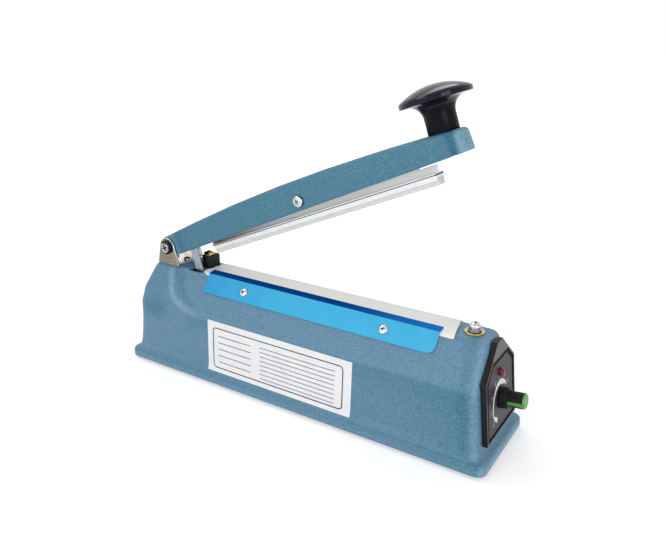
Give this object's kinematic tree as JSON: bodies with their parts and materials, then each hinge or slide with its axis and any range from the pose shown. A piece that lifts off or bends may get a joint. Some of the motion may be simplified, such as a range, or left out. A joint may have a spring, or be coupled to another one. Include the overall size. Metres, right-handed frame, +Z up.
{
  "type": "hand impulse heat sealer",
  "caption": "Hand impulse bag sealer: cast blue housing with a cloth-covered heating bed, hinged spring-returned arm with knob and press bar, timer dial and lamp on the front",
  "frame": {"origin": "centre of the whole object's footprint, on the surface that the feet stand on", "axes": "+X from the hinge end to the timer end, +Y to the side away from the clamp plate, +Z up"},
  "size_m": [0.3388, 0.0804, 0.2461],
  "materials": {
    "hammered_blue": "hammered blue-grey enamel on cast iron",
    "arm_blue": "hammered darker blue enamel on a casting",
    "zinc_steel": "zinc-plated steel",
    "nickel_steel": "bright nickel-plated steel",
    "aluminium_bar": "bright aluminium",
    "silicone": "translucent white silicone",
    "black_gloss": "glossy black moulded plastic",
    "black_matte": "fine-grained black plastic",
    "rubber_black": "matte black rubber",
    "cloth_white": "off-white coated glass cloth",
    "clamp_blue": "smooth light blue enamel on sheet steel",
    "brass": "plain brass",
    "panel_grey": "dark brushed panel plate",
    "lamp_red": "clear red lens",
    "pointer_green": "green moulded insert",
    "board_green": "green circuit board",
    "core_steel": "varnished steel laminations",
    "copper_wire": "varnished copper winding",
    "insulator_tan": "glass-fibre insulating tape"
  },
  "bodies": {
    "housing": {"body_casting": "hammered_blue", "base_plate": "zinc_steel", "base_screws": "zinc_steel", "rubber_feet": "rubber_black", "cord_gland": "rubber_black", "hinge_bracket": "nickel_steel", "bracket_screws": "zinc_steel", "pivot_bolt": "nickel_steel", "pivot_nut": "nickel_steel", "return_spring": "zinc_steel", "spring_seat": "black_matte", "microswitch": "black_matte", "switch_bracket": "zinc_steel", "bed_insulator": "insulator_tan", "heating_band": "zinc_steel", "ptfe_sheet": "cloth_white", "clamp_plate": "clamp_blue", "clamp_screws": "nickel_steel", "rear_terminal_block": "black_matte", "rear_terminal": "brass", "terminal_screw": "brass", "front_screw": "nickel_steel", "front_washers": "brass", "panel_bezel": "black_matte", "panel_plate": "panel_grey", "indicator_lamp": "lamp_red", "potentiometer": "zinc_steel", "timer_board": "board_green", "board_posts": "brass", "transformer_core": "core_steel", "transformer_coil": "copper_wire"},
    "arm": {"arm_casting": "arm_blue", "handle_knob": "black_gloss", "handle_screw": "zinc_steel", "press_bar_bolt": "nickel_steel", "press_bar_nut": "zinc_steel", "bar_spacers": "brass", "link_pin": "zinc_steel"},
    "bar": {"press_bar": "aluminium_bar", "strip_holder": "aluminium_bar", "silicone_strip": "silicone"},
    "link": {"lift_link": "zinc_steel"},
    "switch_lever": {"microswitch_lever": "zinc_steel"},
    "timer": {"timer_knob": "black_matte", "timer_pointer": "pointer_green", "timer_shaft": "zinc_steel"}
  },
  "joints": [
    {"name": "arm_hinge", "type": "hinge", "parent": "housing", "child": "arm", "pos_m": [-0.13886, 0, 0.101], "axis": [0, 1, 0], "range_deg": [0, 21.28], "stiffness_Nm_per_rad": 1.6, "springref_deg": -51.57, "deforming": ["return_spring"]},
    {"name": "bar_rock", "type": "hinge", "parent": "arm", "child": "bar", "pos_m": [-0.00383, 0, 0.15916], "axis": [0, 1, 0], "range_deg": [0, 1.74]},
    {"name": "link_pivot", "type": "hinge", "parent": "arm", "child": "link", "pos_m": [-0.11507, 0, 0.10785], "axis": [0, 1, 0], "range_deg": [-21.28, 0]},
    {"name": "lever_hinge", "type": "hinge", "parent": "housing", "child": "switch_lever", "pos_m": [-0.06041, 0, 0.0467], "axis": [0, -1, 0], "range_deg": [0, 20.22]},
    {"name": "timer_turn", "type": "hinge", "parent": "housing", "child": "timer", "pos_m": [0.14804, 0, 0.04225], "axis": [0.9938, 0, 0.1113], "range_deg": [-140, 130]}
  ],
  "couplings": [
    {"joint": "bar_rock", "follows": "arm_hinge", "ratio": 0.081},
    {"joint": "link_pivot", "follows": "arm_hinge", "ratio": -1},
    {"joint": "lever_hinge", "follows": "arm_hinge", "ratio": 0.9494}
  ]
}
